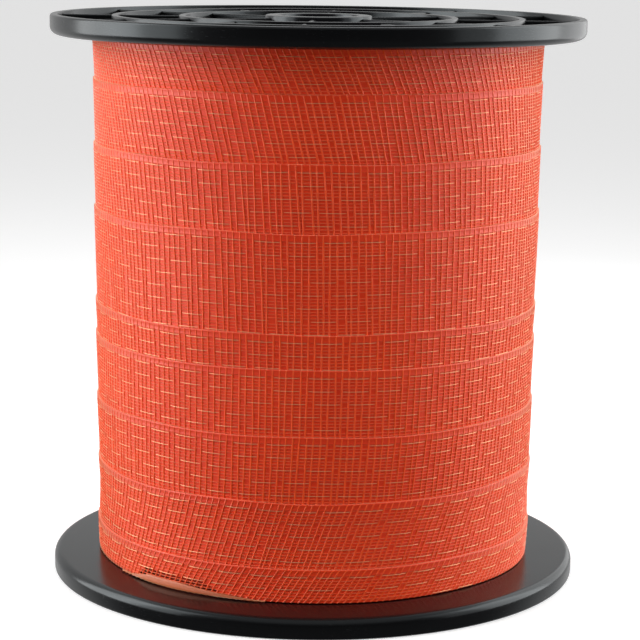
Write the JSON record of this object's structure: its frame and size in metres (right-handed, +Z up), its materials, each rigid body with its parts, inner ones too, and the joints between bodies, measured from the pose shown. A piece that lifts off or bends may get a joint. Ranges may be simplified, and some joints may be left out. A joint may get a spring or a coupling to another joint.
{
  "type": "reel of electric fence tape",
  "caption": "Full reel of woven electric fence tape: two ribbed round flanges on a core tube, wound with wide conductive tape in overlapping bands, with a spindle bore right through.",
  "frame": {"origin": "middle of the plane that the lower flange's rim stands on, on the reel's axis", "axes": "+Z up along the reel's axis, from the lower flange to the upper flange; -Y faces the viewer"},
  "size_m": [0.2, 0.2, 0.211],
  "materials": {
    "reel_plastic": "black injection-moulded plastic, satin to semi-gloss, with fine moulding texture and light scuffs on the rims",
    "core_plastic": "black extruded plastic tube, matte",
    "woven_tape": "orange polyethylene monofilament weave with denser selvages, slightly shiny",
    "tape_wire": "thin bright stainless wires woven lengthwise into the tape"
  },
  "bodies": {
    "root": {"top_flange": "reel_plastic", "bottom_flange": "reel_plastic", "core_tube": "core_plastic", "tape_roll": "woven_tape"}
  },
  "joints": []
}
